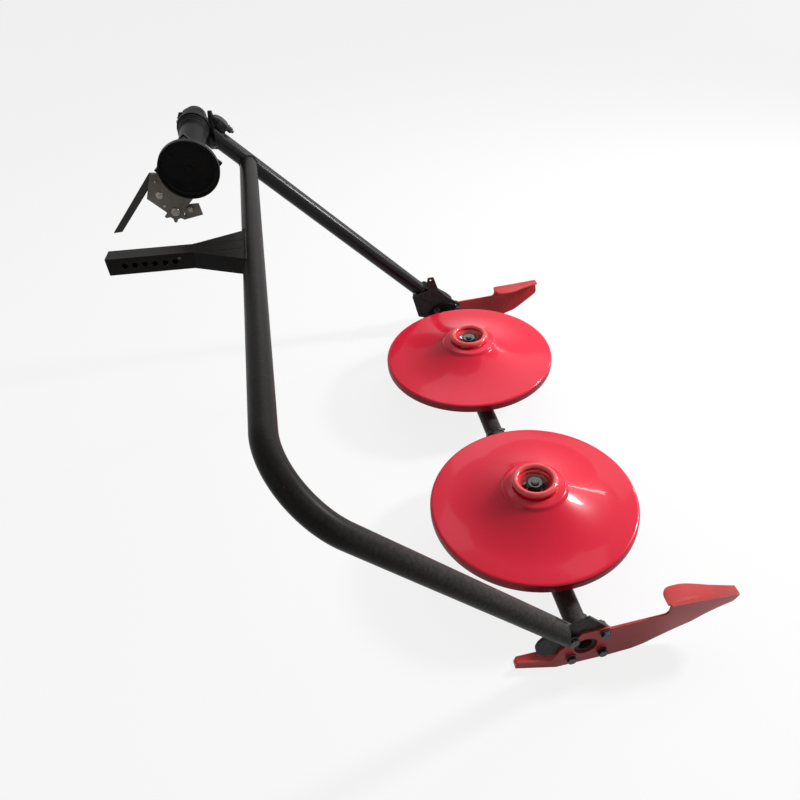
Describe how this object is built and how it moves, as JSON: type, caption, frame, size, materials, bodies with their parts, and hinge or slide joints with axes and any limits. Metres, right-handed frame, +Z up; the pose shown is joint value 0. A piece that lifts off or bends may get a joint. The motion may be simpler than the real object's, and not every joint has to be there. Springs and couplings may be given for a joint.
{
  "type": "two-disc mower attachment",
  "caption": "Disc mower for a walking tractor: round pans with swinging knives on a low cutter bar, skids at its ends, a gear-driven input on top and a hitch arm.",
  "frame": {"origin": "bottom centre of the whole machine's box, on the ground under it", "axes": "+X forward in the direction of work, +Y along the cutter bar from the free leg to the driven end, +Z up"},
  "size_m": [1.2294, 1.41, 0.8534],
  "materials": {
    "disc_red": "gloss enamel",
    "hub_red": "gloss enamel",
    "skid_red": "satin enamel",
    "black_gloss": "gloss enamel",
    "black_satin": "satin enamel",
    "black_casting": "painted casting",
    "black_alloy": "painted alloy casting",
    "galvanised": "dull zinc",
    "dark_steel": "oiled",
    "blade_steel": "ground"
  },
  "bodies": {
    "frame": {"near_disc_housing": "black_casting", "far_disc_housing": "black_casting", "cutter_bar_tube": "black_satin", "near_bar_collar": "black_satin", "far_bar_flange": "black_casting", "side_leg_tube": "black_satin", "side_leg_socket": "black_satin", "side_bend": "black_satin", "drive_tube": "black_gloss", "cross_tube": "black_satin", "near_skid": "skid_red", "far_skid": "skid_red", "near_end_plate": "black_satin", "far_end_plate": "black_satin", "far_gear_housing": "black_casting", "far_gear_cover": "black_casting", "hitch_arm": "black_satin", "hitch_gusset_near": "black_satin", "hitch_gusset_far": "black_satin", "top_gear_dome": "black_alloy", "top_gear_housing": "black_alloy", "top_gear_cap": "black_alloy", "drive_tube_flange": "black_gloss", "clamp_block": "dark_steel", "input_tube": "black_alloy", "input_ring": "black_alloy", "mounting_plate": "black_satin", "latch_bracket": "galvanised", "latch_lever": "galvanised", "latch_sector": "galvanised", "latch_back_plate": "galvanised"},
    "near_rotor": {"near_disc_shell": "disc_red", "near_disc_hub": "hub_red", "near_disc_spindle": "dark_steel", "near_knife_1": "blade_steel", "near_knife_2": "blade_steel"},
    "far_rotor": {"far_disc_shell": "disc_red", "far_disc_hub": "hub_red", "far_disc_spindle": "dark_steel", "far_knife_1": "blade_steel", "far_knife_2": "blade_steel"},
    "input": {"input_shaft": "dark_steel", "input_flange": "black_casting"}
  },
  "joints": [
    {"name": "near_disc_spin", "type": "hinge", "parent": "frame", "child": "near_rotor", "pos_m": [0.28172, -0.338, 0.138], "axis": [0, 0, 1], "continuous": true},
    {"name": "far_disc_spin", "type": "hinge", "parent": "frame", "child": "far_rotor", "pos_m": [0.28172, 0.2765, 0.138], "axis": [0, 0, 1], "continuous": true},
    {"name": "input_spin", "type": "hinge", "parent": "frame", "child": "input", "pos_m": [-0.38628, 0.308, 0.78344], "axis": [0, 1, 0], "continuous": true}
  ],
  "couplings": [
    {"joint": "far_disc_spin", "follows": "near_disc_spin", "ratio": -1},
    {"joint": "input_spin", "follows": "near_disc_spin", "ratio": 0.5}
  ]
}
